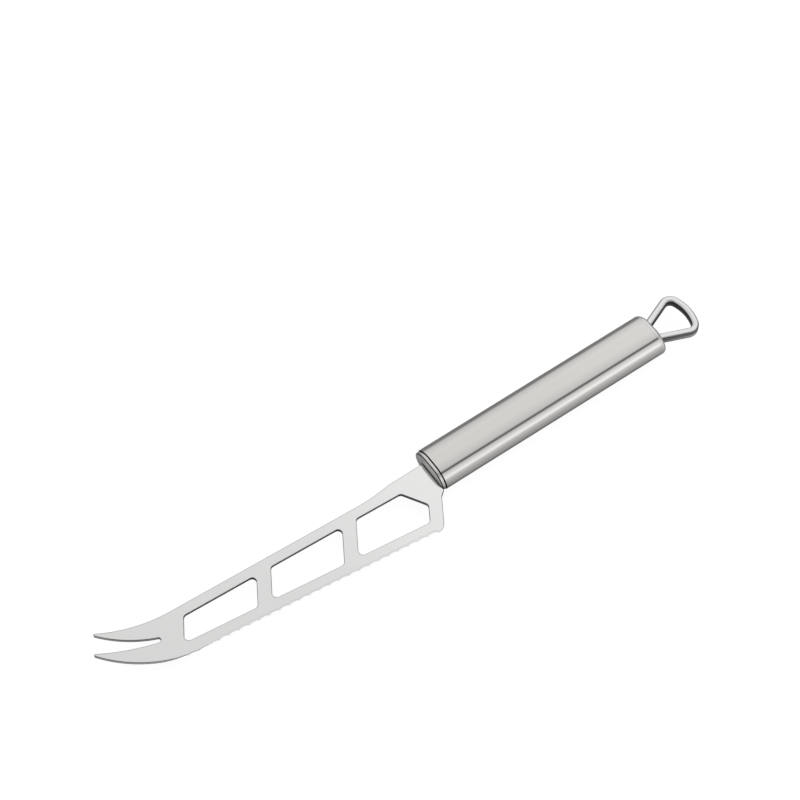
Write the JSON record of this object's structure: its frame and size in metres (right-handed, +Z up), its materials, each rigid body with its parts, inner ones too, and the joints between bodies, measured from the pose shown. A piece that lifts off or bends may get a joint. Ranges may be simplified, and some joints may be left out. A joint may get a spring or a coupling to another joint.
{
  "type": "cheese knife",
  "caption": "Cheese knife: pierced blade with a fine serrated edge and forked tip, hollow oval steel handle and a loop to hang it by.",
  "frame": {"origin": "under the middle of the whole knife, on the plane that the handle's lower side rests on, with the blade level", "axes": "+X from the hanging loop towards the blade's tip, +Y from the spine towards the cutting edge, +Z up, out of the blade's flat face"},
  "size_m": [0.28, 0.04, 0.012],
  "materials": {
    "blade_steel": "fine polished",
    "handle_steel": "satin, brushed lengthways",
    "cap_steel": "polished",
    "core_resin": "cast",
    "loop_steel": "bright polished"
  },
  "bodies": {
    "root": {"blade": "blade_steel", "handle_tube": "handle_steel", "front_cap": "cap_steel", "tang_core": "core_resin", "rear_cap": "cap_steel", "hanging_loop": "loop_steel"}
  },
  "joints": []
}
